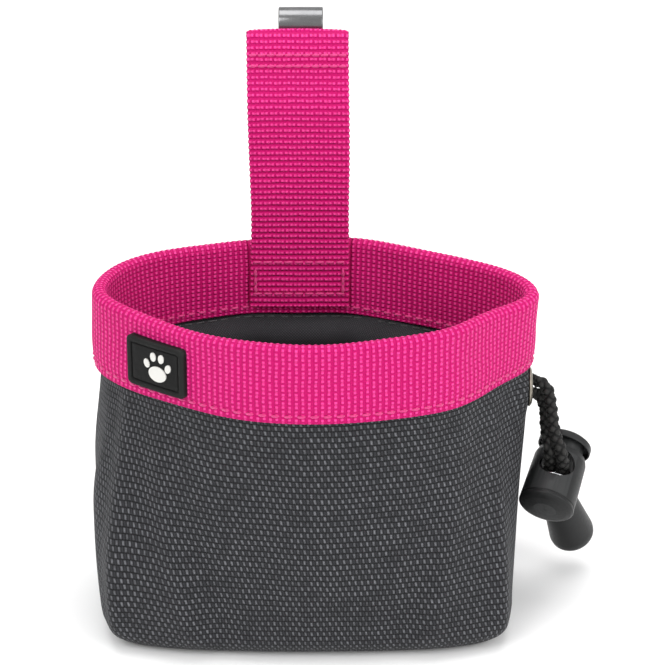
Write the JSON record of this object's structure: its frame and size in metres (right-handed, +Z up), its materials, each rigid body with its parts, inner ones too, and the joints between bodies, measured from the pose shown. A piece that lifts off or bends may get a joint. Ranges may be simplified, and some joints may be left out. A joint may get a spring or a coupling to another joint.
{
  "type": "treat pouch",
  "caption": "Open-topped soft treat pouch with a webbing rim, a belt strap with a spring clip, and a side drawcord with a push-button cord lock.",
  "frame": {"origin": "centre of the pouch's footprint on the surface it stands on, free cord left out", "axes": "+Z up, front (label side) towards -Y, drawcord towards +X, belt strap at +Y"},
  "size_m": [0.1241, 0.0888, 0.1367],
  "materials": {
    "grey_fabric": "woven charcoal grey twill with light flecks",
    "seam_tape": "black woven binding tape",
    "pink_webbing": "ribbed magenta webbing",
    "pink_thread": "magenta sewing thread",
    "spring_steel": "rolled nickel-plated spring steel",
    "nickel": "antique nickel",
    "chrome_wire": "bright wire",
    "black_plastic": "moulded charcoal black, fine grain",
    "black_cord": "braided black polyester",
    "label_rubber": "moulded black rubber with a raised border",
    "emblem_print": "off-white paw print"
  },
  "bodies": {
    "pouch": {"outer_shell": "grey_fabric", "drawcord_casing": "grey_fabric", "side_seam_left": "seam_tape", "side_seam_right": "seam_tape", "corner_seam_left": "seam_tape", "corner_seam_right": "seam_tape", "rim_band": "pink_webbing", "band_stitching": "pink_thread", "band_stitching_inner": "pink_thread", "drawcord_loop": "black_cord", "eyelet": "nickel", "eyelet_washer": "nickel", "label_patch": "label_rubber", "label_emblem": "emblem_print", "strap_tail_inner": "pink_webbing", "strap_tail_outer": "pink_webbing", "tail_stitching_inner": "pink_thread", "tail_stitching_outer": "pink_thread"},
    "strap": {"belt_strap": "pink_webbing", "belt_clip_leg": "spring_steel", "clip_rivets": "spring_steel", "rivet_washers": "spring_steel"},
    "clip_arm": {"belt_clip_arm": "spring_steel"},
    "drawstring": {"cord_strand_inner": "black_cord", "cord_strand_outer": "black_cord", "cord_lock_barrel": "black_plastic", "cord_lock_spring": "chrome_wire", "cord_end_bell": "black_plastic", "cord_knot": "black_cord"},
    "plunger": {"cord_lock_plunger": "black_plastic"}
  },
  "joints": [
    {"name": "strap_tilt", "type": "hinge", "parent": "pouch", "child": "strap", "pos_m": [-0.00383, 0.02797, 0.07825], "axis": [1, 0, 0], "range_deg": [-25, 25]},
    {"name": "clip_flex", "type": "hinge", "parent": "strap", "child": "clip_arm", "pos_m": [-0.00333, 0.04083, 0.13622], "axis": [1, 0, 0], "range_deg": [0, 10], "stiffness_Nm_per_rad": 1},
    {"name": "cord_swing", "type": "hinge", "parent": "pouch", "child": "drawstring", "pos_m": [0.05327, -0.00523, 0.0546], "axis": [0, -1, 0], "range_deg": [0, 35]},
    {"name": "plunger_press", "type": "slide", "parent": "drawstring", "child": "plunger", "axis": [-0.306, -0.7699, -0.56], "range_m": [0, 0.0018], "stiffness_N_per_m": 300, "deforming": ["cord_lock_spring"]}
  ]
}
